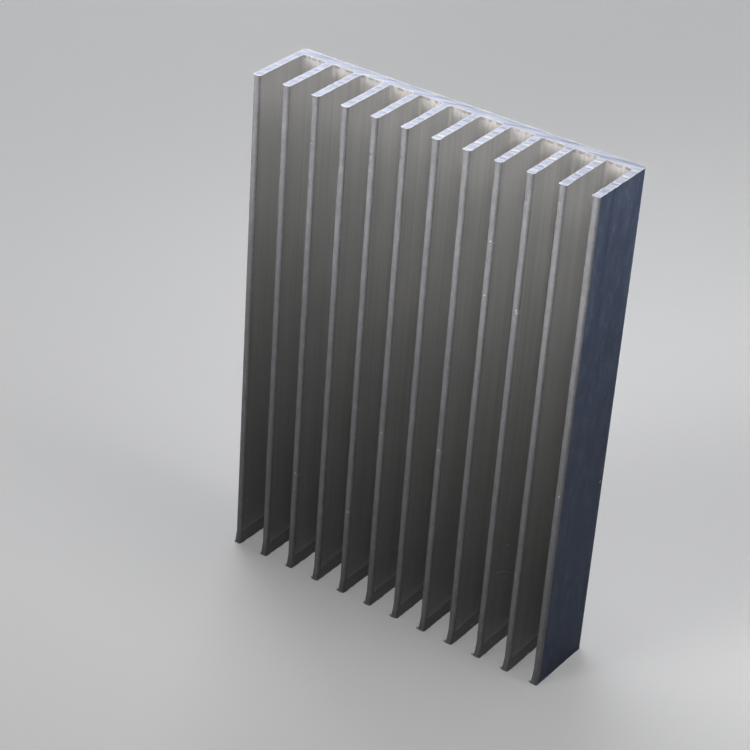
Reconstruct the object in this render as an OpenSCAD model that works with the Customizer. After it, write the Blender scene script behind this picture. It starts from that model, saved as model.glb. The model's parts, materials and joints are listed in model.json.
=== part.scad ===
// Comb heat sink: one length of aluminium extrusion, standing on its saw-cut end.
// The extrusion runs along Z. The base plate is at the back (+Y) and its flat outer face is the
// mounting face. The fins point forwards (-Y). The origin is at the centre of the bottom cut.

/* [Overall] */
// Length between the two saw cuts
sink_l = 100; // [20:5:300]
// Width across the base plate
sink_w = 70; // [50:1:120]
// Depth from the mounting face to the fin tips
sink_d = 15; // [8:0.5:40]

/* [Base plate] */
// Thickness of the base plate
base_t = 2; // [1:0.1:5]
// Radius of the two long edges of the mounting face
back_r = 0.5; // [0.1:0.05:0.9]

/* [Fins] */
// Number of fins
fin_count = 12; // [4:1:16]
// Thickness of each fin
fin_t = 1.4; // [1:0.1:2]
// How much wider the first and the last gap are than the gaps between them
end_gap_extra = 0.2; // [0:0.05:1]
// Radius of the two long edges of each fin tip
tip_r = 0.45; // [0.1:0.05:0.45]
// Radius of the fillet where a fin meets the base plate
root_r = 0.5; // [0.1:0.05:1]

/* [Hidden] */
$fn = 48;
aluminium = [0.78, 0.79, 0.8];

back_y = sink_d / 2;
tip_y = -sink_d / 2;
floor_y = back_y - base_t;
half_w = sink_w / 2;
fin_pitch = (sink_w - fin_t - 2 * end_gap_extra) / (fin_count - 1);

// Centre of fin i, counted from the left. The outermost two stand flush with the base's sides.
function fin_x(i) =
    i == 0 ? -half_w + fin_t / 2 :
    i == fin_count - 1 ? half_w - fin_t / 2 :
    -half_w + fin_t / 2 + end_gap_extra + i * fin_pitch;

// A rectangle between two corners
module span(low, high) {
    translate(low) square(high - low);
}

// Base plate with rounded long back edges
module base_section() {
    span([-half_w, floor_y], [half_w, back_y - back_r]);
    span([-half_w + back_r, floor_y], [half_w - back_r, back_y]);
    for (side = [-1, 1])
        translate([side * (half_w - back_r), back_y - back_r]) circle(back_r);
}

// One fin, rooted half-way into the base plate, with a rounded tip
module fin_section() {
    root_y = floor_y + base_t / 2;
    span([-fin_t / 2, tip_y + tip_r], [fin_t / 2, root_y]);
    span([-fin_t / 2 + tip_r, tip_y], [fin_t / 2 - tip_r, root_y]);
    for (side = [-1, 1])
        translate([side * (fin_t / 2 - tip_r), tip_y + tip_r]) circle(tip_r);
}

// The hollow corner between a fin's side, at x = 0, and the base plate. It reaches into both.
module root_fillet() {
    overlap = min(fin_t, base_t) / 4;
    difference() {
        span([-overlap, -root_r], [root_r, overlap]);
        translate([root_r, -root_r]) circle(root_r);
    }
}

// The die's shape: what every cut across the extrusion shows
module comb_section() {
    base_section();
    for (i = [0 : fin_count - 1])
        translate([fin_x(i), 0]) fin_section();
    for (i = [0 : fin_count - 2]) {
        translate([fin_x(i) + fin_t / 2, floor_y]) root_fillet();
        translate([fin_x(i + 1) - fin_t / 2, floor_y]) mirror([1, 0]) root_fillet();
    }
}

module heat_sink() {
    color(aluminium) linear_extrude(height = sink_l) comb_section();
}

heat_sink();
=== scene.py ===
"""Comb heat sink: one length of aluminium extrusion, standing on its saw-cut end in a plain studio."""

import json
import math
import random

import bmesh
import bpy
from mathutils import Matrix, Vector

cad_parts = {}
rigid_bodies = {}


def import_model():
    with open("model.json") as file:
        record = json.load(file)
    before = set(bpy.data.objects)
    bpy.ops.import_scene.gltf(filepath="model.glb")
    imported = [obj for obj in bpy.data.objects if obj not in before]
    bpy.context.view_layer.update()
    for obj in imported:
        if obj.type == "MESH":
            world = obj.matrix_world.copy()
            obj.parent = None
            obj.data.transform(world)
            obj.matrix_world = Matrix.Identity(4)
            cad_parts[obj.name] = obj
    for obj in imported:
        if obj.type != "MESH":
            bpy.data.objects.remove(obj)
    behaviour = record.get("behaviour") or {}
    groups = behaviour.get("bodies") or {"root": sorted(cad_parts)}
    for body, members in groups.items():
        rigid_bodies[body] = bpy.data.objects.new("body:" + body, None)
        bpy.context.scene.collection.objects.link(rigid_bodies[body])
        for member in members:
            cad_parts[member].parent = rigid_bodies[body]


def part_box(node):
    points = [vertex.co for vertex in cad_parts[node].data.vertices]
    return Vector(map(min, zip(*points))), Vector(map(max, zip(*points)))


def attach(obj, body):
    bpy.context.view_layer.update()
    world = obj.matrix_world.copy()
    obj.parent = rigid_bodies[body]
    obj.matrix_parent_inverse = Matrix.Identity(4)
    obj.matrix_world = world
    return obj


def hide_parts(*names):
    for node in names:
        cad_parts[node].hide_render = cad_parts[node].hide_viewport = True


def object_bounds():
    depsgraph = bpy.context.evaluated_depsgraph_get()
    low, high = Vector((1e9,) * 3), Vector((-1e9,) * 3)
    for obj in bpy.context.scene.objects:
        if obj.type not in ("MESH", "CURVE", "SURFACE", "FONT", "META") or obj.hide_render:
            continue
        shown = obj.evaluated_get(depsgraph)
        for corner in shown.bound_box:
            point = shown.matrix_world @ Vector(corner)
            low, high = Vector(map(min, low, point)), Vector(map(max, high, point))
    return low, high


bl_info = {
    "name": "Comb heat sink",
    "version": (1, 0, 0),
    "blender": (4, 5, 0),
    "location": "3D View > Sidebar > Heat sink",
    "description": "Models an extruded aluminium comb heat sink with saw-cut ends, and a plain studio",
    "category": "Object",
}

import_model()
CAD_LOW, CAD_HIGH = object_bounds()
NODE = "heat_sink"
BODY = "root"
MM = 0.001
SLACK = 0.01 * MM  # places closer together than this count as the same
HAIR = 0.001 * MM  # the same, for rows of vertices that lie close together
DRAGGED = 3.0  # height of the fins' lower ends that the saw has pushed aside (mm)
END_BEND = 1 * MM  # how much of a fin's depth, from its tip, leans or is pushed


# ---- selecting and shaping


def deselect_everything():
    """Leaves edit mode and clears the selection, so that an operator acts on nothing by accident."""
    if bpy.context.object and bpy.context.object.mode != "OBJECT":
        bpy.ops.object.mode_set(mode="OBJECT")
    bpy.ops.object.select_all(action="DESELECT")


def pick(piece):
    """Makes one piece the only selected one."""
    deselect_everything()
    piece.select_set(True)
    bpy.context.view_layer.objects.active = piece


def start_editing(piece):
    pick(piece)
    bpy.ops.object.mode_set(mode="EDIT")


def select_all():
    bpy.ops.mesh.select_all(action="SELECT")


def open_mesh(mode):
    """The mesh being edited, with nothing selected, in the asked selection mode."""
    bpy.ops.mesh.select_mode(type=mode)
    bpy.ops.mesh.select_all(action="DESELECT")
    return bmesh.from_edit_mesh(bpy.context.object.data)


def show_selection(mesh):
    mesh.select_flush_mode()
    bmesh.update_edit_mesh(bpy.context.object.data, loop_triangles=False, destructive=False)


def select_where(mode, parts, test):
    """Selects the faces, edges or vertices of the mesh being edited for which the test holds."""
    mesh = open_mesh(mode)
    for part in getattr(mesh, parts):
        if test(part):
            part.select = True
    show_selection(mesh)


def select_faces(test):
    """Selects the faces for which test(centre, normal) holds."""
    select_where("FACE", "faces", lambda face: test(face.calc_center_median(), face.normal))


def select_edges(test):
    """Selects the edges for which test(first end, second end) holds."""
    select_where("EDGE", "edges", lambda edge: test(edge.verts[0].co, edge.verts[1].co))


def select_vertices(test):
    """Selects the vertices for which test(place) holds."""
    select_where("VERT", "verts", lambda vertex: test(vertex.co))


def slice_selection(place, direction):
    bpy.ops.mesh.bisect(plane_co=place, plane_no=direction, use_fill=False)


def slice_level(height):
    slice_selection((0, 0, height), (0, 0, 1))


def near(value, target, slack=SLACK):
    return abs(value - target) < slack


# ---- the comb's layout


class CombLayout:
    """Places along the section of the comb, worked out from the sizes and the frame's box."""

    def __init__(self, sizes):
        low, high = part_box(NODE)
        self.half_width, self.back, self.length = high
        self.tip = low.y
        self.floor = self.back - sizes.base_thickness
        self.fin_thickness = sizes.fin_thickness
        half = sizes.fin_thickness / 2
        first = -self.half_width + half
        span = 2 * self.half_width - sizes.fin_thickness - 2 * sizes.end_gap_extra
        pitch = span / (sizes.fin_count - 1)
        self.fins = [first + sizes.end_gap_extra + i * pitch for i in range(sizes.fin_count)]
        self.fins[0] = first
        self.fins[-1] = -first

    def inner_sides(self):
        """The x of each fin side that faces a channel, from left to right."""
        half = self.fin_thickness / 2
        sides = [x + s * half for x in self.fins for s in (-1, 1)]
        return sides[1:-1]

    def fin_at(self, x):
        """Which fin, if any, spans this x."""
        half = self.fin_thickness / 2 + 2 * SLACK
        for i, centre in enumerate(self.fins):
            if abs(x - centre) <= half:
                return i
        return None


def add_bar(layout):
    """The base plate, a flat bar as long as the cut, with its inner face still flat."""
    depth = layout.back - layout.floor
    deselect_everything()
    bpy.ops.mesh.primitive_cube_add(
        size=1,
        location=(0, layout.floor + depth / 2, layout.length / 2),
        scale=(2 * layout.half_width, depth, layout.length),
    )
    bar = bpy.context.object
    bar.name = bar.data.name = "comb_extrusion"
    bpy.ops.object.transform_apply(location=True, rotation=True, scale=True)
    return bar


def pull_fins(layout):
    """Divides the inner face into fins and channels and pulls every fin out to its tip."""
    for x in layout.inner_sides():
        select_all()
        slice_selection((x, 0, 0), (1, 0, 0))
    select_faces(
        lambda c, n: n.y < -0.9 and near(c.y, layout.floor) and layout.fin_at(c.x) is not None
    )
    bpy.ops.mesh.extrude_region_move(
        TRANSFORM_OT_translate={"value": (0, layout.tip - layout.floor, 0)}
    )
    select_all()
    bpy.ops.mesh.dissolve_limited(angle_limit=math.radians(1))


def upright(a, b):
    return near(a.x, b.x) and near(a.y, b.y)


def round_edges(layout, sizes):
    """Rounds the fin tips, the long back edges and the corners where fins meet the base plate."""
    inner = layout.half_width - 0.1 * MM
    for y, radius, wanted in (
        (layout.tip, sizes.tip_radius, lambda a: True),
        (layout.floor, sizes.root_radius, lambda a: abs(a.x) < inner),
        (layout.back, sizes.back_radius, lambda a: True),
    ):
        select_edges(lambda a, b: upright(a, b) and near(a.y, y) and wanted(a))
        bpy.ops.mesh.bevel(
            offset_type="OFFSET", offset=radius, segments=6, profile=0.5, affect="EDGES"
        )


def lean_last_fin(layout, lean):
    """Lets the last fin lean a little, with its root kept in place."""
    half = layout.fin_thickness / 2 + 2 * SLACK
    centre = layout.fins[-1]
    select_vertices(lambda c: abs(c.x - centre) < half and c.y < layout.tip + END_BEND)
    bpy.ops.transform.translate(value=(lean, 0, 0))


def set_lower_ends(layout, height, shift):
    """The saw has pushed the lowest part of every fin slightly to the left."""
    select_all()
    slice_level(height)
    select_vertices(lambda c: near(c.z, 0) and c.y < layout.tip + END_BEND)
    bpy.ops.transform.translate(value=(shift, 0, 0))


def dent_tip(layout, fin, height, half_length, depth, side):
    """Presses a short dent into one rounded corner of a fin tip. side is -1 for the left corner."""
    centre = layout.fins[fin]
    half = layout.fin_thickness / 2 + 0.25 * MM
    levels = [height + step * half_length for step in (-1, -0.45, 0.3, 1)]
    for level in levels:
        select_faces(
            lambda c, n: abs(c.x - centre) < half and c.y < layout.tip + 0.44 * MM and abs(n.z) < 0.5
        )
        slice_level(level)
    for level, share in ((levels[1], 1.0), (levels[2], 0.7)):
        select_vertices(
            lambda c: near(c.z, level)
            and 0.15 * MM < side * (c.x - centre) < half - 0.03 * MM
            and c.y < layout.tip + 0.4 * MM
        )
        bpy.ops.transform.translate(value=(-side * depth * share, 0.6 * depth * share, 0))


def divide_ends(layout, levels, spacing):
    """Cuts fine rows of faces round both saw cuts, whose faces are opened meanwhile."""
    for depth in levels:
        for level in (depth, layout.length - depth):
            select_all()
            slice_level(level)
    mesh = open_mesh("FACE")
    for end in (0, layout.length):
        cut = max(
            (f for f in mesh.faces if near(f.calc_center_median().z, end, HAIR)),
            key=lambda f: len(f.verts),
        )
        cut.select = True
    show_selection(mesh)
    bpy.ops.mesh.delete(type="ONLY_FACE")
    deepest = max(levels) + SLACK

    def in_end_row(a, b):
        return near(a.z, b.z) and (a.z < deepest or a.z > layout.length - deepest)

    spans = {}
    for edge in bmesh.from_edit_mesh(bpy.context.object.data).edges:
        a, b = (v.co for v in edge.verts)
        length = (a - b).length
        if in_end_row(a, b) and length > 1.5 * spacing:
            spans.setdefault(min(100, round(length / spacing) - 1), []).append(length)
    for cuts, lengths in sorted(spans.items()):
        shortest, longest = min(lengths) - HAIR, max(lengths) + HAIR
        select_edges(lambda a, b: in_end_row(a, b) and shortest < (a - b).length < longest)
        bpy.ops.mesh.subdivide(number_cuts=cuts)
    for end in (0, layout.length):
        select_where("EDGE", "edges", lambda e: e.is_boundary and near(e.verts[0].co.z, end, HAIR))
        bpy.ops.mesh.edge_face_add()
    select_all()
    bpy.ops.mesh.normals_make_consistent(inside=False)


def pull_lips(layout, lips, rows, lower_shift):
    """Draws the left corner of each fin's tip out into a small pointed lip at both saw cuts."""
    for fin, reaches in enumerate(lips):
        for end, shift, reach in zip((layout.length, 0), (0, lower_shift), reaches):
            corner = layout.fins[fin] + shift - 0.42 * MM
            for depth, share in rows:
                level = abs(end - depth)
                select_vertices(
                    lambda c: near(c.z, level)
                    and corner - 0.45 * MM < c.x < corner
                    and c.y < layout.tip + 0.36 * MM
                )
                pull = reach * share * MM
                bpy.ops.transform.translate(value=(-pull, -0.2 * pull, 0))


def inset_cuts(layout, width):
    """Makes a narrow rim round both saw-cut faces."""
    select_faces(lambda c, n: abs(n.z) > 0.9 and (near(c.z, 0) or near(c.z, layout.length)))
    bpy.ops.mesh.inset(thickness=width, use_even_offset=True, use_boundary=True)


def rim_levels(layout, levels):
    """How strongly a vertex follows the burr: fully at a cut and not at all below its rows."""
    rows = [(0, 1.0)] + list(zip(levels, (0.55, 0.0)))

    def share(z):
        from_cut = min(z, layout.length - z)
        for depth, strength in rows:
            if near(from_cut, depth, 4 * HAIR):
                return strength
        return 0.0

    return share


def group_burrs(comb, layout, levels):
    """Vertex groups for the burrs, one for each way that an edge of the section can face."""
    share = rim_levels(layout, levels)
    ways = {"right": (1, 0), "left": (-1, 0), "front": (0, -1), "back": (0, 1)}
    groups = {name: comb.vertex_groups.new(name="burr_" + name) for name in ways}
    outline = set()
    for polygon in comb.data.polygons:
        if abs(polygon.normal.z) < 0.5:
            outline.update(polygon.vertices)
    for vertex in comb.data.vertices:
        strength = share(vertex.co.z)
        if strength == 0 or vertex.index not in outline:
            continue
        facing = Vector((vertex.normal.x, vertex.normal.y))
        if facing.length < 1e-4:
            continue
        facing.normalize()
        for name, (x, y) in ways.items():
            weight = max(0.0, facing.x * x + facing.y * y) * strength
            if weight > 0.02:
                groups[name].add([vertex.index], weight, "REPLACE")


def raise_burrs(comb):
    """Pushes the rims outwards by ragged amounts and keeps the result."""
    pick(comb)
    for name, direction, height, size, contrast in BURRS:
        pattern = bpy.data.textures.new("burr_" + name, "CLOUDS")
        pattern.noise_scale = size * MM
        pattern.noise_depth = 3
        pattern.contrast = contrast
        pattern.intensity = 0.85
        ragged = comb.modifiers.new("burr " + name, "DISPLACE")
        ragged.texture = pattern
        ragged.texture_coords = "LOCAL"
        ragged.direction = direction
        ragged.vertex_group = "burr_" + name
        ragged.mid_level = 0
        ragged.strength = height * MM
        bpy.ops.object.modifier_apply(modifier=ragged.name)
    comb.vertex_groups.clear()

# The ragged burrs: the way an edge faces, axis, height, size of the ragged steps (mm), contrast.
BURRS = (
    ("right", "X", 0.16, 0.7, 1.6),
    ("left", "X", -0.14, 0.6, 1.8),
    ("front", "Y", -0.16, 0.7, 1.6),
    ("back", "Y", 0.30, 1.6, 2.2),
)

# Dents in the fin tips: fin (from 0), height, half length, depth (mm), side.
TIP_DENTS = (
    (2, 91.3, 0.6, 0.22, -1),
    (2, 83.4, 1.3, 0.24, -1),
    (3, 92.6, 0.7, 0.16, -1),
    (3, 89.6, 1.4, 0.20, -1),
    (4, 93.0, 0.5, 0.20, -1),
    (4, 91.2, 0.9, 0.20, -1),
    (5, 95.9, 0.5, 0.16, -1),
    (5, 94.4, 0.6, 0.26, -1),
    (9, 95.2, 0.7, 0.26, -1),
    (9, 74.2, 0.5, 0.22, 1),
    (10, 97.0, 0.6, 0.24, -1),
    (10, 94.3, 1.2, 0.24, -1),
    (10, 91.6, 0.5, 0.14, -1),
    (2, 22.1, 0.5, 0.16, 1),
    (4, 18.8, 0.9, 0.16, 1),
    (7, 40.7, 0.4, 0.12, 1),
    (8, 85.2, 0.4, 0.12, 1),
)

# How far the burr's lip reaches to the left at each fin's tip: upper end, lower end (mm).
TIP_LIPS = (
    (0.10, 0.14),
    (0.16, 0.16),
    (0.18, 0.12),
    (0.20, 0.18),
    (0.17, 0.20),
    (0.19, 0.16),
    (0.16, 0.22),
    (0.20, 0.20),
    (0.12, 0.24),
    (0.15, 0.22),
    (0.17, 0.24),
    (0.20, 0.22),
)

# Crumbs of burr on the fins near the lower cut: fin (from 0), right of its middle, y, z, radius (mm).
CRUMBS = (
    (0, -0.92, -7.50, 1.00, 0.17),
    (1, -1.05, -7.42, 0.35, 0.15),
    (2, -1.02, -7.45, 0.30, 0.17),
    (3, -1.08, -7.46, 0.38, 0.18),
    (4, -1.10, -7.48, 0.34, 0.24),
    (5, -1.05, -7.45, 0.32, 0.20),
    (6, -1.12, -7.48, 0.34, 0.23),
    (7, -1.12, -7.48, 0.32, 0.24),
    (8, -1.10, -7.48, 0.36, 0.26),
    (9, -1.12, -7.50, 0.38, 0.28),
    (10, -1.08, -7.48, 0.42, 0.25),
    (11, -1.22, -7.48, 0.42, 0.26),
    (6, 0.48, -5.7, 1.9, 0.24),
    (6, 0.50, -5.1, 2.2, 0.14),
    (6, 0.52, -4.3, 1.6, 0.16),
    (6, 0.60, -3.2, 1.4, 0.12),
    (6, 0.66, 0.2, 1.1, 0.18),
    (7, 0.62, -1.8, 0.5, 0.16),
    (8, 0.62, -5.8, 3.1, 0.20),
    (8, 0.62, -1.0, 1.0, 0.22),
    (8, 0.66, 0.6, 1.9, 0.15),
    (9, 0.56, -3.9, 1.7, 0.17),
    (10, 0.66, -0.8, 0.4, 0.17),
    (11, 0.58, -3.8, 0.3, 0.15),
)


def add_crumbs(layout):
    """Small bright curls of burr that cling to the fins near the lower cut."""
    deselect_everything()
    bpy.ops.mesh.primitive_ico_sphere_add(subdivisions=3, radius=1, location=(0, 0, 0))
    model = bpy.context.object
    start_editing(model)
    select_all()
    bpy.ops.transform.vertex_random(offset=0.12, uniform=0.2, normal=0.6, seed=3)
    bpy.ops.transform.resize(value=(0.75, 1.0, 0.7))
    chance = random.Random(12)
    for fin, across, y, z, radius in CRUMBS:
        pick(model)
        bpy.ops.object.duplicate()
        crumb = bpy.context.object
        crumb.name = "crumb"
        crumb.location = (layout.fins[fin] + across * MM, y * MM, z * MM)
        crumb.rotation_euler = [chance.uniform(-0.6, 0.6) for _ in range(3)]
        crumb.scale = [radius * MM * chance.uniform(0.85, 1.15) for _ in range(3)]
    deselect_everything()
    bpy.data.objects.remove(model)
    crumbs = [piece for piece in bpy.context.scene.objects if piece.name.startswith("crumb")]
    for piece in crumbs:
        piece.select_set(True)
    bpy.context.view_layer.objects.active = crumbs[0]
    bpy.ops.object.join()
    joined = bpy.context.object
    joined.name = joined.data.name = "burr_crumbs"
    bpy.ops.object.transform_apply(location=True, rotation=True, scale=True)
    bpy.ops.object.shade_smooth()
    return joined


def build_comb(context):
    sizes = context.scene.heat_sink_sizes
    layout = CombLayout(sizes)
    comb = add_bar(layout)
    start_editing(comb)
    pull_fins(layout)
    round_edges(layout, sizes)
    inset_cuts(layout, sizes.rim_width)
    for fin, height, half_length, depth, side in TIP_DENTS:
        dent_tip(layout, fin, height * MM, half_length * MM, depth * MM, side)
    lean_last_fin(layout, sizes.last_fin_lean)
    set_lower_ends(layout, DRAGGED * MM, sizes.lower_end_shift)
    levels = (sizes.burr_height * 0.3, sizes.burr_height)
    divide_ends(layout, levels, sizes.burr_spacing)
    rows = ((0, 1.0), (levels[0], 0.6))
    pull_lips(layout, TIP_LIPS, rows, sizes.lower_end_shift)
    deselect_everything()
    group_burrs(comb, layout, levels)
    raise_burrs(comb)
    return comb, layout
# ---- shader helpers


def fill(tree, socket, value):
    """Joins a socket to another one, or sets its value."""
    if isinstance(value, bpy.types.NodeSocket):
        tree.links.new(value, socket)
    else:
        socket.default_value = value


def add_node(tree, kind, inputs=None, **settings):
    """Adds a node, sets it up, and joins or fills its inputs."""
    made = tree.nodes.new(kind)
    for name, value in settings.items():
        setattr(made, name, value)
    for name, value in (inputs or {}).items():
        fill(tree, made.inputs[name], value)
    return made


def new_material(name):
    material = bpy.data.materials.new(name)
    material.use_nodes = True
    tree = material.node_tree
    tree.nodes.clear()
    output = tree.nodes.new("ShaderNodeOutputMaterial")
    shader = tree.nodes.new("ShaderNodeBsdfPrincipled")
    tree.links.new(shader.outputs[0], output.inputs["Surface"])
    return material, tree, shader


def sum_up(tree, operation, *values, clamp=False):
    """One step of arithmetic on numbers. Returns the result's socket."""
    step = add_node(tree, "ShaderNodeMath", operation=operation, use_clamp=clamp)
    for socket, value in zip(step.inputs, values):
        fill(tree, socket, value)
    return step.outputs[0]


def plus(tree, first, second):
    return sum_up(tree, "ADD", first, second)


def times(tree, first, *others):
    for other in others:
        first = sum_up(tree, "MULTIPLY", first, other)
    return first


def how_far(tree, value, target):
    """How far a number is from another one, without its sign."""
    return sum_up(tree, "ABSOLUTE", sum_up(tree, "SUBTRACT", value, target))


def spread(tree, value, low, high, new_low, new_high, smooth=False):
    """Stretches low..high to new_low..new_high, and holds the ends."""
    return add_node(
        tree,
        "ShaderNodeMapRange",
        {"Value": value, "From Min": low, "From Max": high, "To Min": new_low, "To Max": new_high},
        interpolation_type="SMOOTHSTEP" if smooth else "LINEAR",
    ).outputs[0]


def vary(tree, noise, low, high):
    """Noise stretched between two values. Nearly all of it lies from 0.3 to 0.7."""
    return spread(tree, noise, 0.3, 0.7, low, high)


def between(tree, value, rise, fall):
    """A mask that comes up over one stretch of a number and goes down again over another."""
    return times(tree, spread(tree, value, *rise, 0, 1), spread(tree, value, *fall, 1, 0))


def scaled(tree, place, factors):
    inputs = {0: place, 1: factors}
    return add_node(tree, "ShaderNodeVectorMath", inputs, operation="MULTIPLY").outputs[0]


def distance(tree, place, target):
    inputs = {0: place, 1: target}
    return add_node(tree, "ShaderNodeVectorMath", inputs, operation="DISTANCE").outputs["Value"]


def place_in_mm(tree):
    """Where a point of the metal is, in millimetres from the middle of the lower end."""
    return scaled(tree, add_node(tree, "ShaderNodeTexCoord").outputs["Object"], (1 / MM,) * 3)


def grain(tree, place, steps, detail=2.0, roughness=0.5):
    """Soft noise from 0 to 1, with this many steps to the millimetre along each axis."""
    place = scaled(tree, place, steps)
    inputs = {"Vector": place, "Scale": 1.0, "Detail": detail, "Roughness": roughness}
    return add_node(tree, "ShaderNodeTexNoise", inputs).outputs["Fac"]


def tinted(tree, share, first, second, mode="MIX"):
    """Two colours laid over each other."""
    mix = add_node(tree, "ShaderNodeMix", data_type="RGBA", blend_type=mode)
    sockets = [socket for socket in mix.inputs if socket.enabled]
    for socket, value in zip(sockets, (share, first, second)):
        ready = isinstance(value, (int, float, bpy.types.NodeSocket))
        fill(tree, socket, value if ready else (*value[:3], 1))
    return next(socket for socket in mix.outputs if socket.enabled)


def dimmed(tree, colour, factor):
    """A colour times a number."""
    grey = add_node(tree, "ShaderNodeCombineColor", dict.fromkeys(("Red", "Green", "Blue"), factor))
    return tinted(tree, 1.0, colour, grey.outputs[0], mode="MULTIPLY")


def mottled(tree, colour, noise, low, high):
    """A colour dimmed and brightened by noise."""
    return dimmed(tree, colour, vary(tree, noise, low, high))


def axes(tree, place):
    return add_node(tree, "ShaderNodeSeparateXYZ", {0: place}).outputs[:3]


def facing_right(tree):
    """1 where the metal faces right, -1 where it faces left, 0 in front, at the back and at the ends."""
    return axes(tree, add_node(tree, "ShaderNodeTexCoord").outputs["Normal"])[0]


def join(tree, shader, colour, roughness, relief, depth, strength, metalness, sheen=None):
    """Fills a metal's shader in. Its relief is a height from 0 to 1, this many metres deep."""
    inputs = {"Height": relief, "Distance": depth, "Strength": strength}
    bump = add_node(tree, "ShaderNodeBump", inputs).outputs["Normal"]
    for name, value in (("Base Color", colour), ("Roughness", roughness), ("Normal", bump)):
        tree.links.new(value, shader.inputs[name])
    shader.inputs["Metallic"].default_value = metalness
    if sheen is not None:
        shader.inputs["Specular IOR Level"].default_value = sheen


# ---- metal finishes

# Depth of the die's lines and of the saw's marks.
DIE_RELIEF = 0.02 * MM
SAW_RELIEF = 0.03 * MM


# Saw centre and the arcs painted nearly white as glints, with less roughness: radius, half width,
# strength (mm).
SAW_CENTRE = (65, -186, 0)
SAW_BANDS = (
    (190.6, 0.55, 1.0),
    (189.4, 0.25, 0.45),
    (193.5, 0.40, 0.75),
    (194.7, 0.25, 0.40),
    (187.4, 0.30, 0.35),
    (197.0, 0.35, 0.45),
    (185.0, 0.30, 0.30),
)

# Small nicks on the fins' right sides, painted near white as glints: fin (from 0), y, z, radius (mm).
FACE_NICKS = (
    (1, -4.6, 27.6, 0.16),
    (1, -6.8, 9.2, 0.18),
    (8, -2.4, 25.0, 0.16),
    (9, -1.9, 22.9, 0.30),
    (9, -2.0, 21.4, 0.26),
    (9, -1.6, 24.0, 0.14),
    (5, -3.0, 12.5, 0.12),
)

# Nicks on the outside, painted near white as glints: x, y, z, radius (mm).
OUTER_NICKS = (
    (35.0, 6.3, 38.1, 0.30),
    (35.0, -3.8, 0.3, 0.20),
    (35.0, -6.9, 60.0, 0.16),
)

# Nicks on the fin tips, painted near white as glints: fin (from 0), distance right of the tip's middle,
# z, radius (mm).
TIP_NICKS = (
    (2, 0.1, 22.1, 0.30),
    (4, 0.1, 18.8, 0.34),
    (5, 0.1, 39.2, 0.22),
    (7, 0.0, 40.7, 0.22),
    (8, 0.1, 85.2, 0.22),
    (8, 0.0, 74.8, 0.22),
    (9, 0.2, 74.2, 0.30),
    (11, 0.0, 41.8, 0.24),
)

# Curved scratches on a fin's right side, painted near white as glints: fin (from 0), centre's y and z,
# radius, half width (mm), the y where they begin and end, strength.
SCRATCHES = (
    (9, -10.17, 3.12, 16.09, 0.16, (-7.0, 1.4), 0.55),
    (9, -10.17, 1.90, 16.09, 0.12, (-5.6, 0.6), 0.28),
)


def die_lines(tree, place):
    """The lines that the die draws along the whole length: hairlines and drawn lines."""
    return grain(tree, place, (5.5, 5.5, 0.05)), grain(tree, place, (1.9, 1.9, 0.014))


def spots(tree, place, marks):
    """A mask for small nicks painted bright as glints, given as (x, y, z, radius) in millimetres."""
    mask = 0.0
    for x, y, z, radius in marks:
        away = distance(tree, place, (x, y, z))
        spot = spread(tree, away, radius * 0.55, radius, 1, 0, smooth=True)
        mask = sum_up(tree, "MAXIMUM", spot, mask)
    return mask


def arc_scratch(tree, place, side_x, centre_y, centre_z, radius, width, span):
    """A mask for a curved scratch on a fin's side, drawn round a centre between two places along y."""
    x, y, z = axes(tree, place)
    level = add_node(tree, "ShaderNodeCombineXYZ", {"Y": y, "Z": z}).outputs[0]
    off_line = how_far(tree, distance(tree, level, (0, centre_y, centre_z)), radius)
    line = spread(tree, off_line, width * 0.3, width, 1, 0, smooth=True)
    on_side = sum_up(tree, "LESS_THAN", how_far(tree, x, side_x), 0.12)
    first, last = span
    inside = between(tree, y, (first, first + 1.0), (last - 1.5, last))
    return times(tree, line, on_side, inside)


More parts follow.
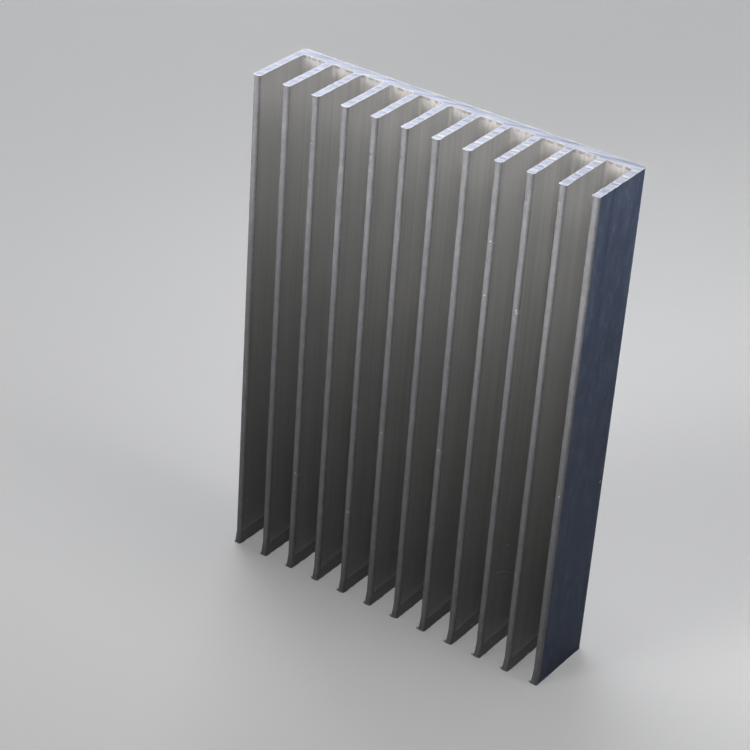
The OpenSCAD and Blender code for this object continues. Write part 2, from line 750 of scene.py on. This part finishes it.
def channel_skin(finish, layout):
    """The clean, warm metal inside the channels, as it left the die."""
    material, tree, shader = new_material("channel_skin")
    place = place_in_mm(tree)
    _, y, z = axes(tree, place)
    base, top = layout.floor / MM, layout.length / MM
    hair, drawn = die_lines(tree, place)
    broad = grain(tree, place, (0.55, 0.55, 0.008), detail=1)
    cloud = vary(tree, grain(tree, place, (0.09, 0.09, 0.04), detail=3), 0, 1)
    colour = tinted(tree, cloud, finish.channel_colour, finish.channel_stain)
    for noise, low, high in ((hair, 0.96, 1.04), (drawn, 0.94, 1.05), (broad, 0.95, 1.04)):
        colour = mottled(tree, colour, noise, low, high)
    # The strip of base plate between two fins shows the die's lines most, and is painted paler, as
    # painted light that falls on it more than on the fins.
    on_floor = spread(tree, y, base - 0.55, base - 0.15, 0, 1)
    strip_lines = grain(tree, place, (2.4, 2.4, 0.02), detail=3, roughness=0.65)
    strip_lines = spread(tree, strip_lines, 0.34, 0.6, 0, 1)
    strip = tinted(tree, strip_lines, finish.strip_shade, finish.lit_strip_colour)
    colour = tinted(tree, on_floor, colour, strip)
    # Faint level streaks lie across the lower ends of the fins.
    streaks = grain(tree, place, (0.2, 0.22, 1.5), detail=3)
    low_down = spread(tree, z, 26, 6, 0, 1, smooth=True)
    rubbed = times(tree, low_down, spread(tree, streaks, 0.48, 0.75, 0, 1))
    colour = tinted(tree, times(tree, rubbed, 0.30), colour, finish.streak_and_highlight_colour)
    # The pushed lower end of each fin's right side is painted darker as painted shade, with a paler line
    # painted as a highlight where it begins.
    on_right = spread(tree, facing_right(tree), 0.5, 0.8, 0, 1)
    height = plus(tree, z, vary(tree, streaks, -0.25, 0.25))
    shaded_end = spread(tree, height, DRAGGED + 0.15, DRAGGED - 0.15, 0, 1)
    highlight_line = between(tree, height, (DRAGGED - 0.05, DRAGGED + 0.2), (DRAGGED + 0.25, DRAGGED + 1.6))
    colour = tinted(tree, times(tree, shaded_end, on_right, 0.8), colour, finish.dragged_shade_colour)
    colour = tinted(tree, times(tree, highlight_line, on_right, 0.6), colour, finish.streak_and_highlight_colour)
    # Painted shadow: a dark band is painted under the burr of the base plate's cut edge.
    shadow_band = between(tree, z, (top - 0.75, top - 0.5), (top - 0.22, top - 0.14))
    broken = spread(tree, grain(tree, place, (0.9, 0.9, 0.3)), 0.42, 0.56, 0, 1)
    burr_shadow_mask = times(tree, shadow_band, on_floor, broken, 0.5)
    colour = tinted(tree, burr_shadow_mask, colour, finish.burr_shadow_colour)
    right_sides = [(centre + layout.fin_thickness / 2) / MM for centre in layout.fins]
    bright = spots(tree, place, [(right_sides[fin], *rest) for fin, *rest in FACE_NICKS])
    for fin, *arc, weight in SCRATCHES:
        scratch = arc_scratch(tree, place, right_sides[fin], *arc)
        bright = sum_up(tree, "MAXIMUM", bright, times(tree, scratch, weight))
    # Nicks and scratches are painted near white as painted glints.
    colour = tinted(tree, bright, colour, finish.nick_glint_colour)
    gloss = finish.channel_roughness
    drawn_gloss = vary(tree, drawn, gloss + 0.06, gloss - 0.06)
    roughness = sum_up(tree, "ADD", drawn_gloss, times(tree, rubbed, 0.10), clamp=True)
    relief = plus(tree, times(tree, hair, 0.5), drawn)
    join(tree, shader, colour, roughness, relief, DIE_RELIEF, 0.35, finish.channel_metalness)
    return material


def outer_skin(finish):
    """The dull outside, clouded and streaked along its length. Its colours are written dark and bluish
    as painted shade and a painted bluish reflection, and it is painted paler towards its upper end as
    painted light.
    """
    material, tree, shader = new_material("outer_skin")
    place = place_in_mm(tree)
    _, y, z = axes(tree, place)
    hair, drawn = die_lines(tree, place)
    cloud = grain(tree, place, (0.30, 0.30, 0.13), detail=4, roughness=0.6)
    smear = grain(tree, place, (0.45, 0.45, 0.03), detail=3)
    wisps = grain(tree, place, (0.7, 0.7, 0.36), detail=6, roughness=0.75)
    clouded = spread(tree, cloud, 0.34, 0.66, 0, 1)
    colour = tinted(tree, clouded, finish.outer_shaded_colour, finish.outer_shaded_cloud)
    colour = mottled(tree, colour, smear, 0.92, 1.08)
    colour = mottled(tree, colour, hair, 0.96, 1.04)
    # A dark streak runs down from the upper cut, and a painted highlight runs as a thin pale line beside
    # the back edge.
    beside = spread(tree, how_far(tree, y, -3.0), 0, 1.0, 1, 0, smooth=True)
    streak = times(tree, beside, spread(tree, z, 66, 88, 0, 1, smooth=True))
    colour = dimmed(tree, colour, spread(tree, streak, 0, 1, 1.0, 0.78))
    edge_highlight = between(tree, y, (6.75, 7.0), (7.15, 7.3))
    colour = dimmed(tree, colour, spread(tree, edge_highlight, 0, 1, 1.0, 1.6))
    pale_wisps = spread(tree, wisps, 0.44, 0.66, 0, 1, smooth=True)
    haze = times(tree, pale_wisps, spread(tree, cloud, 0.40, 0.60, 0.25, 1), 0.5)
    colour = tinted(tree, haze, colour, finish.outer_haze)
    # Painted light: the outside is painted paler towards the upper end and darker towards the lower one.
    colour = dimmed(tree, colour, spread(tree, z, 8, 96, 0.80, 1.22))
    colour = tinted(tree, spots(tree, place, OUTER_NICKS), colour, finish.nick_glint_colour)
    gloss = finish.outer_roughness
    clouded_gloss = vary(tree, cloud, gloss - 0.06, gloss + 0.08)
    roughness = plus(tree, clouded_gloss, vary(tree, drawn, 0.03, -0.03))
    relief = plus(tree, times(tree, hair, 0.4), plus(tree, drawn, wisps))
    metalness, sheen = finish.outer_metalness, finish.outer_sheen
    join(tree, shader, colour, roughness, relief, DIE_RELIEF, 0.3, metalness, sheen)
    return material


def tip_skin(finish, layout):
    """The rounded fin tips, pinkish, with small nicks. Their middle is painted brighter as a highlight
    and their flanks darker as shade.
    """
    material, tree, shader = new_material("tip_skin")
    place = place_in_mm(tree)
    hair, _ = die_lines(tree, place)
    rub = grain(tree, place, (0.8, 0.8, 0.35), detail=4, roughness=0.65)
    patch = grain(tree, place, (0.5, 0.5, 0.05), detail=3)
    glint_grain = grain(tree, place, (2.6, 2.6, 1.3), roughness=0.6)
    colour = tinted(tree, vary(tree, patch, 0, 1), finish.tip_colour, finish.tip_warm)
    # Painted highlight and shade: only the middle of the rounded tip is painted bright, and its flanks
    # are painted as dull as the channels, by the way the metal faces.
    sideways = sum_up(tree, "ABSOLUTE", facing_right(tree))
    flank = spread(tree, sideways, 0.04, 0.45, 0, 1, smooth=True)
    colour = tinted(tree, flank, colour, finish.tip_flank_shade)
    colour = dimmed(tree, colour, spread(tree, rub, 0.3, 0.72, 0.86, 1.12))
    # Fine painted glints along the tip.
    colour = dimmed(tree, colour, spread(tree, glint_grain, 0.35, 0.68, 0.94, 1.12))
    colour = mottled(tree, colour, hair, 0.95, 1.05)
    depth = layout.tip / MM + 0.05
    marks = [(layout.fins[fin] / MM + across, depth, *rest) for fin, across, *rest in TIP_NICKS]
    colour = tinted(tree, spots(tree, place, marks), colour, finish.nick_glint_colour)
    roughness = vary(tree, rub, finish.tip_roughness + 0.07, finish.tip_roughness - 0.07)
    relief = plus(tree, hair, rub)
    metalness, sheen = finish.tip_metalness, finish.tip_sheen
    join(tree, shader, colour, roughness, relief, DIE_RELIEF, 0.35, metalness, sheen)
    return material


def saw_marks(tree, place):
    """Distance from the saw's centre in millimetres, with a slight wander, and its teeth's marks."""
    flat = scaled(tree, place, (1, 1, 0))
    wander = vary(tree, grain(tree, flat, (0.35, 0.35, 0), detail=1), -0.12, 0.12)
    radius = plus(tree, distance(tree, flat, SAW_CENTRE), wander)
    rings = []
    for steps, detail in ((1.25, 2), (4.5, 1)):
        inputs = {"W": times(tree, radius, steps), "Scale": 1.0, "Detail": detail, "Roughness": 0.6}
        noise = add_node(tree, "ShaderNodeTexNoise", inputs, noise_dimensions="1D")
        rings.append(noise.outputs["Fac"])
    return radius, *rings


def sawn_aluminium(finish):
    """The bright cut ends: cool metal with the saw's arcs, some of them painted nearly white as glints.
    """
    material, tree, shader = new_material("sawn_aluminium")
    place = place_in_mm(tree)
    x, y, _ = axes(tree, place)
    radius, wide, fine = saw_marks(tree, place)
    # The arcs show most on the right.
    side = spread(tree, x, -12, 10, 0.35, 1, smooth=True)
    glint_and_smooth_arcs = 0.0
    for band_radius, width, strength in SAW_BANDS:
        off = how_far(tree, radius, band_radius)
        band = times(tree, spread(tree, off, 0, width, 1, 0, smooth=True), strength)
        glint_and_smooth_arcs = sum_up(tree, "MAXIMUM", band, glint_and_smooth_arcs)
    patches = spread(tree, grain(tree, place, (0.33, 0.33, 0)), 0.35, 0.65, 0.45, 1.0)
    glint_and_smooth_arcs = times(tree, glint_and_smooth_arcs, patches, side)
    stripes = plus(tree, times(tree, wide, 0.55), times(tree, fine, 0.45))
    contrast = spread(tree, side, 0, 1, 0.6, 1.5)
    stripes = plus(tree, times(tree, sum_up(tree, "SUBTRACT", stripes, 0.5), contrast), 0.5)
    bright = spread(tree, stripes, 0.34, 0.62, 0, 1)
    colour = tinted(tree, bright, finish.sawn_shade, finish.sawn_colour)
    colour = mottled(tree, colour, grain(tree, place, (0.25, 0.6, 0), detail=3), 0.86, 1.06)
    # The base plate's strip is duller towards the back.
    colour = dimmed(tree, colour, spread(tree, y, 6.3, 7.0, 1.0, 0.82))
    # The arcs are painted nearly white as painted glints.
    colour = tinted(tree, glint_and_smooth_arcs, colour, finish.arc_glint_colour)
    gloss = finish.sawn_roughness
    roughness = spread(tree, stripes, 0.35, 0.65, gloss + 0.08, gloss - 0.06)
    roughness = sum_up(tree, "SUBTRACT", roughness, times(tree, glint_and_smooth_arcs, 0.08))
    join(tree, shader, colour, roughness, stripes, SAW_RELIEF, 0.35, finish.sawn_metalness)
    return material


def burnished_rim(finish):
    """The thin turned-over edge that the saw leaves round a cut."""
    material, tree, shader = new_material("burnished_rim")
    worn = grain(tree, place_in_mm(tree), (1.6, 1.6, 1.6), detail=3, roughness=0.6)
    pale = spread(tree, worn, 0.35, 0.65, 0, 1)
    colour = tinted(tree, pale, finish.rim_shade, finish.rim_colour)
    roughness = vary(tree, worn, finish.sawn_roughness, finish.sawn_roughness - 0.12)
    join(tree, shader, colour, roughness, worn, SAW_RELIEF, 0.5, 1)
    return material


def fresh_chip(finish):
    """Torn metal of the crumbs, painted near white as painted glints."""
    material, tree, shader = new_material("fresh_chip")
    torn = grain(tree, place_in_mm(tree), (7, 7, 7), detail=3)
    pale = spread(tree, torn, 0.3, 0.6, 0.5, 1)
    colour = tinted(tree, pale, finish.rim_colour, finish.nick_glint_colour)
    join(tree, shader, colour, vary(tree, torn, 0.2, 0.3), torn, DIE_RELIEF, 0.3, 0)
    return material


def finish_comb(comb, finish, layout):
    for made in (
        channel_skin(finish, layout),
        outer_skin(finish),
        tip_skin(finish, layout),
        sawn_aluminium(finish),
        burnished_rim(finish),
    ):
        comb.data.materials.append(made)
    channel, outside, tips, sawn, rim = range(5)
    biggest = {}
    for face in comb.data.polygons:
        end = face.center.z > layout.length / 2
        if abs(face.normal.z) > 0.9 and face.area > biggest.get(end, (0, None))[0]:
            biggest[end] = (face.area, face.index)
    cut_faces = {index for area, index in biggest.values()}
    for face in comb.data.polygons:
        x, y = face.center.x, face.center.y
        at_side = abs(x) > layout.half_width - 0.3 * MM
        if face.index in cut_faces:
            face.material_index = sawn
        elif abs(face.normal.z) > 0.5:
            face.material_index = rim
        elif y < layout.tip + 0.46 * MM:
            face.material_index = tips
        elif at_side and abs(face.normal.x) > 0.3 and face.normal.x * x > 0:
            face.material_index = outside
        elif y > layout.back - 0.6 * MM:
            face.material_index = outside
        else:
            face.material_index = channel
    pick(comb)
    bpy.ops.object.shade_smooth_by_angle(angle=math.radians(30))
    weighted = comb.modifiers.new("flat faces stay flat", "WEIGHTED_NORMAL")
    weighted.keep_sharp = True
    bpy.ops.object.modifier_apply(modifier=weighted.name)


# ---- settings


def length(name, description, default):
    return bpy.props.FloatProperty(
        name=name, description=description, default=default * MM, unit="LENGTH"
    )


def share(name, description, default):
    return bpy.props.FloatProperty(
        name=name, description=description, default=default, min=0, max=1
    )


def angle(name, description, degrees):
    return bpy.props.FloatProperty(
        name=name, description=description, default=math.radians(degrees), subtype="ANGLE"
    )


def colour(name, description, default):
    return bpy.props.FloatVectorProperty(
        name=name, description=description, default=default, subtype="COLOR", size=3, min=0, max=1
    )


class HeatSinkSizes(bpy.types.PropertyGroup):
    """Sizes of the comb's section. Its outer size is the frame's."""

    fin_count: bpy.props.IntProperty(name="Fins", description="Number of fins", default=12, min=2)
    fin_thickness: length("Fin thickness", "Thickness of each fin", 1.4)
    base_thickness: length("Base thickness", "Thickness of the base plate", 2)
    end_gap_extra: length(
        "End gap extra", "How much wider the first and the last gap are than the others", 0.2
    )
    tip_radius: length("Tip radius", "Radius of the fin tips' long edges", 0.45)
    root_radius: length("Root radius", "Radius of the fillet at a fin's root", 0.5)
    back_radius: length("Back radius", "Radius of the mounting face's long edges", 0.5)
    last_fin_lean: length("Last fin's lean", "How far the last fin's tip leans", -0.16)
    lower_end_shift: length(
        "Lower end shift", "How far the saw has pushed the fins' lower ends sideways", -0.3
    )
    burr_height: length("Burr height", "How far a burr reaches along the extrusion", 0.3)
    burr_spacing: length("Burr spacing", "Length of one step along a ragged edge", 0.4)
    rim_width: length("Rim width", "Width of the turned-over rim round a saw cut", 0.14)


class HeatSinkFinish(bpy.types.PropertyGroup):
    """Colours and gloss of the metal."""

    channel_colour: colour(
        "Channel colour", "Colour of the clean metal between the fins", (0.585, 0.578, 0.562)
    )
    channel_stain: colour(
        "Channel stain",
        "Second colour of the metal between the fins, in soft clouds",
        (0.54, 0.54, 0.532),
    )
    channel_metalness: share("Channel metalness", "How metallic the channels are", 0.0)
    channel_roughness: share("Channel roughness", "Roughness of the channels", 0.5)
    # The base plate's strips are painted paler than the fins as painted light.
    lit_strip_colour: colour(
        "Strip colour", "Colour of the base plate's strips between the fins", (0.80, 0.77, 0.74)
    )
    strip_shade: colour(
        "Strip shade", "Colour of the darker lines along those strips", (0.66, 0.63, 0.61)
    )
    # Painted shade on the pushed lowest part of each fin's right side.
    dragged_shade_colour: colour(
        "Dragged colour",
        "Colour of the dull lowest part of each fin's right side",
        (0.33, 0.33, 0.36),
    )
    # Also the colour of the painted highlight line where that pushed part begins.
    streak_and_highlight_colour: colour(
        "Worn colour", "Colour of the faint level streaks near the lower end", (0.78, 0.78, 0.80)
    )
    # The colour of the painted shadow under the burr of the base plate's cut edge.
    burr_shadow_colour: colour("Dirt colour", "Colour of the dirt under a burr", (0.06, 0.06, 0.06))
    # Fresh metal of nicks, scratches and crumbs, painted near white as painted glints.
    nick_glint_colour: colour(
        "Nick colour", "Colour of fresh metal in nicks and scratches", (0.98, 0.98, 0.97)
    )
    # The outside's colours are written dark and bluish, as painted shade and a painted reflection of
    # bluish surroundings.
    outer_shaded_colour: colour("Outer colour", "Colour of the dull outside", (0.118, 0.158, 0.262))
    outer_shaded_cloud: colour(
        "Outer cloud", "Second colour of the outside, in soft clouds", (0.176, 0.222, 0.345)
    )
    outer_haze: colour("Outer haze", "Colour of the pale wisps on the outside", (0.31, 0.36, 0.49))
    outer_metalness: share("Outer metalness", "How metallic the outside is", 0.0)
    outer_roughness: share("Outer roughness", "Roughness of the outside", 0.48)
    tip_colour: colour("Tip colour", "Colour of the fin tips", (0.41, 0.41, 0.443))
    tip_warm: colour(
        "Warm tip colour", "Second colour of the fin tips, in patches", (0.435, 0.418, 0.43)
    )
    outer_sheen: share("Outer sheen", "How strongly the outside mirrors its surroundings", 0.06)
    tip_sheen: share("Tip sheen", "How strongly the fin tips mirror their surroundings", 0.25)
    # Painted shade on the flanks of a rounded fin tip.
    tip_flank_shade: colour(
        "Tip flank", "Colour of the dull flanks of a rounded fin tip", (0.34, 0.34, 0.34)
    )
    tip_metalness: share("Tip metalness", "How metallic the fin tips are", 0.05)
    tip_roughness: share("Tip roughness", "Roughness of the fin tips", 0.45)
    sawn_colour: colour("Sawn colour", "Colour of the saw-cut ends", (0.60, 0.63, 0.72))
    sawn_shade: colour(
        "Sawn shade", "Colour of the darker arcs on the saw-cut ends", (0.30, 0.33, 0.50)
    )
    # Colour of the painted glints along the saw's arcs.
    arc_glint_colour: colour(
        "Polished colour", "Colour of the polished arcs on the saw-cut ends", (0.97, 0.95, 0.88)
    )
    sawn_roughness: share("Sawn roughness", "Roughness of the saw-cut ends", 0.5)
    sawn_metalness: share(
        "Sawn metalness",
        "How much the cut ends act as bare metal rather than as a matt surface",
        0.3,
    )
    rim_colour: colour(
        "Rim colour", "Colour of the turned-over rim round a cut", (0.78, 0.76, 0.71)
    )
    rim_shade: colour("Rim shade", "Second colour of the turned-over rim", (0.44, 0.46, 0.58))


class HeatSinkStudio(bpy.types.PropertyGroup):
    """The floor, the lamps and the camera."""

    floor_colour: colour("Floor colour", "Colour of the plain floor", (0.86, 0.86, 0.86))
    floor_bounce: colour(
        "Floor bounce",
        "Colour of the light that the floor throws back on the heat sink",
        (0.25, 0.25, 0.25),
    )
    floor_glow: share(
        "Floor glow",
        "Evens out the floor that the camera and bright metal see, and lights nothing else",
        0.213,
    )
    azimuth: angle(
        "Azimuth",
        "Angle of the camera round the heat sink, from straight in front of the fins",
        32.892,
    )
    elevation: angle("Elevation", "Angle of the camera above the floor", 31.477)
    roll: angle("Roll", "Tilt of the camera about its own line of sight", -4.202)
    distance: length("Distance", "From the camera to the point it aims at", 414.71)
    aim: bpy.props.FloatVectorProperty(
        name="Aim",
        description="Point that the camera aims at",
        default=(-6.80 * MM, -5.22 * MM, 48.87 * MM),
        subtype="TRANSLATION",
    )
    lens: bpy.props.FloatProperty(
        name="Lens", description="Focal length on a 36 mm wide sensor, in millimetres", default=110.39
    )


# ---- operators


class HEATSINK_OT_comb(bpy.types.Operator):
    """Models the comb extrusion with its saw-cut ends and gives it its finish"""

    bl_idname = "heatsink.comb"
    bl_label = "Comb extrusion"
    bl_options = {"REGISTER", "UNDO"}

    def execute(self, context):
        comb, layout = build_comb(context)
        finish_comb(comb, context.scene.heat_sink_finish, layout)
        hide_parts(NODE)
        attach(comb, BODY)
        return {"FINISHED"}


class HEATSINK_OT_crumbs(bpy.types.Operator):
    """Adds the bright crumbs of burr near the lower cut"""

    bl_idname = "heatsink.crumbs"
    bl_label = "Burr crumbs"
    bl_options = {"REGISTER", "UNDO"}

    def execute(self, context):
        crumbs = add_crumbs(CombLayout(context.scene.heat_sink_sizes))
        crumbs.data.materials.append(fresh_chip(context.scene.heat_sink_finish))
        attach(crumbs, BODY)
        return {"FINISHED"}


# Where the lamps aim: the middle of the part's upper half, and the fin tips at the upper cut.
UPPER_HALF = Vector((0, 0, 0.07))
UPPER_TIPS = Vector((0, CAD_LOW[1], CAD_HIGH[2]))

# Lamps: name, aim, azimuth, elevation (degrees), distance, size (m), cone (degrees), power (W), colour.
# The last five stand close to the upper cut, so that the light falls off down the fins. The channels
# and the outside therefore render darker than their colours are written.
LAMPS = (
    ("lamp_window", UPPER_HALF, -135, 30, 1.2, (0.8, 0.8), 180, 4.87, (0.95, 0.97, 1.0)),
    ("lamp_high_back", UPPER_HALF, 180, 60, 1.2, (0.8, 0.8), 180, 0.69, (0.97, 0.98, 1.0)),
    ("lamp_over_top", UPPER_TIPS, 0, 100, 0.10, (0.30, 0.04), 180, 0.114, (1.0, 0.98, 0.98)),
    ("lamp_front_wide", UPPER_TIPS, 15, 15, 0.22, (0.30, 0.05), 80, 0.0212, (0.99, 0.99, 1.0)),
    ("lamp_front_right", UPPER_TIPS, 25, 15, 0.22, (0.30, 0.05), 30, 0.0146, (0.99, 0.99, 1.0)),
    ("lamp_left_high", UPPER_TIPS, -30, 40, 0.22, (0.30, 0.05), 35, 0.027, (0.99, 0.99, 1.0)),
    ("lamp_left_upper", UPPER_TIPS, -30, 15, 0.22, (0.30, 0.05), 15, 0.0138, (0.99, 0.99, 1.0)),
)
ROOM_COLOUR = (0.8, 0.85, 0.95, 1)
ROOM_LIGHT = 0.02
FLOOR_SIDE = 8  # m


def seen_from(azimuth, elevation):
    """The direction from the heat sink to something that stands at these angles round it."""
    return Vector(
        (
            math.sin(azimuth) * math.cos(elevation),
            -math.cos(azimuth) * math.cos(elevation),
            math.sin(elevation),
        )
    )


def add_lamp(name, aim, azimuth, elevation, away, size, cone, power, tint):
    """An oblong area lamp that faces the point it aims at."""
    back = seen_from(math.radians(azimuth), math.radians(elevation))
    deselect_everything()
    bpy.ops.object.light_add(type="AREA", location=aim + back * away)
    lamp = bpy.context.object
    lamp.name = lamp.data.name = name
    lamp.rotation_euler = back.to_track_quat("Z", "Y").to_euler()
    lamp.data.shape = "RECTANGLE"
    lamp.data.size, lamp.data.size_y = size
    lamp.data.spread = math.radians(cone)
    lamp.data.energy = power
    lamp.data.color = tint
    lamp.visible_camera = False


def add_camera(studio):
    back = seen_from(studio.azimuth, studio.elevation)
    roll = studio.roll
    right_level = (-back).cross(Vector((0, 0, 1))).normalized()
    up_level = right_level.cross(-back)
    up = up_level * math.cos(roll) + right_level * math.sin(roll)
    right = right_level * math.cos(roll) - up_level * math.sin(roll)
    place = Vector(studio.aim) + back * studio.distance
    turn = Matrix((right, up, back)).transposed()
    deselect_everything()
    bpy.ops.object.camera_add(location=place, rotation=turn.to_euler())
    camera = bpy.context.object
    camera.name = camera.data.name = "studio_camera"
    camera.data.sensor_width = 36
    camera.data.lens = studio.lens
    camera.data.clip_start = 0.01
    camera.data.clip_end = 50
    bpy.context.scene.camera = camera


class HEATSINK_OT_studio(bpy.types.Operator):
    """Adds the pale floor, the soft lamps, the surroundings and the camera"""

    bl_idname = "heatsink.studio"
    bl_label = "Studio"
    bl_options = {"REGISTER", "UNDO"}

    def execute(self, context):
        studio = context.scene.heat_sink_studio
        deselect_everything()
        bpy.ops.mesh.primitive_plane_add(size=FLOOR_SIDE, location=(0, 0, 0))
        floor = context.object
        floor.name = floor.data.name = "studio_floor"
        material, tree, shader = new_material("floor_paint")
        rays = add_node(tree, "ShaderNodeLightPath").outputs
        seen = sum_up(tree, "MAXIMUM", rays["Is Camera Ray"], rays["Is Glossy Ray"])
        seen = sum_up(tree, "MAXIMUM", seen, rays["Is Transmission Ray"])
        paint = {
            "Base Color": tinted(tree, seen, studio.floor_bounce, studio.floor_colour),
            "Emission Color": (*studio.floor_colour, 1),
            "Emission Strength": times(tree, seen, studio.floor_glow),
            "Roughness": 0.9,
            "Specular IOR Level": 0.1,
        }
        for name, value in paint.items():
            fill(tree, shader.inputs[name], value)
        floor.data.materials.append(material)

        for lamp in LAMPS:
            add_lamp(*lamp)

        world = bpy.data.worlds.new("studio_room")
        world.use_nodes = True
        background = world.node_tree.nodes["Background"]
        background.inputs["Color"].default_value = ROOM_COLOUR
        background.inputs["Strength"].default_value = ROOM_LIGHT
        context.scene.world = world

        context.scene.view_settings.view_transform = "Standard"
        add_camera(studio)
        return {"FINISHED"}


class HEATSINK_PT_panel(bpy.types.Panel):
    """Lists the settings and the steps that make the heat sink and its studio"""

    bl_idname = "HEATSINK_PT_panel"
    bl_label = "Comb heat sink"
    bl_space_type = "VIEW_3D"
    bl_region_type = "UI"
    bl_category = "Heat sink"

    def draw(self, context):
        scene = context.scene
        for title, settings, steps in (
            ("Section", scene.heat_sink_sizes, ()),
            ("Finish", scene.heat_sink_finish, (HEATSINK_OT_comb, HEATSINK_OT_crumbs)),
            ("Studio", scene.heat_sink_studio, (HEATSINK_OT_studio,)),
        ):
            box = self.layout.box()
            box.label(text=title)
            for name in settings.__annotations__:
                box.prop(settings, name)
            for step in steps:
                box.operator(step.bl_idname)


CLASSES = (
    HeatSinkSizes,
    HeatSinkFinish,
    HeatSinkStudio,
    HEATSINK_OT_comb,
    HEATSINK_OT_crumbs,
    HEATSINK_OT_studio,
    HEATSINK_PT_panel,
)
SETTINGS = {
    "heat_sink_sizes": HeatSinkSizes,
    "heat_sink_finish": HeatSinkFinish,
    "heat_sink_studio": HeatSinkStudio,
}


def register():
    for item in CLASSES:
        bpy.utils.register_class(item)
    for name, kind in SETTINGS.items():
        setattr(bpy.types.Scene, name, bpy.props.PointerProperty(type=kind))


def unregister():
    for name in SETTINGS:
        delattr(bpy.types.Scene, name)
    for item in reversed(CLASSES):
        bpy.utils.unregister_class(item)


def main():
    """Makes the heat sink and its studio."""
    register()
    bpy.ops.heatsink.comb()
    bpy.ops.heatsink.crumbs()
    bpy.ops.heatsink.studio()


if __name__ == "__main__":
    main()
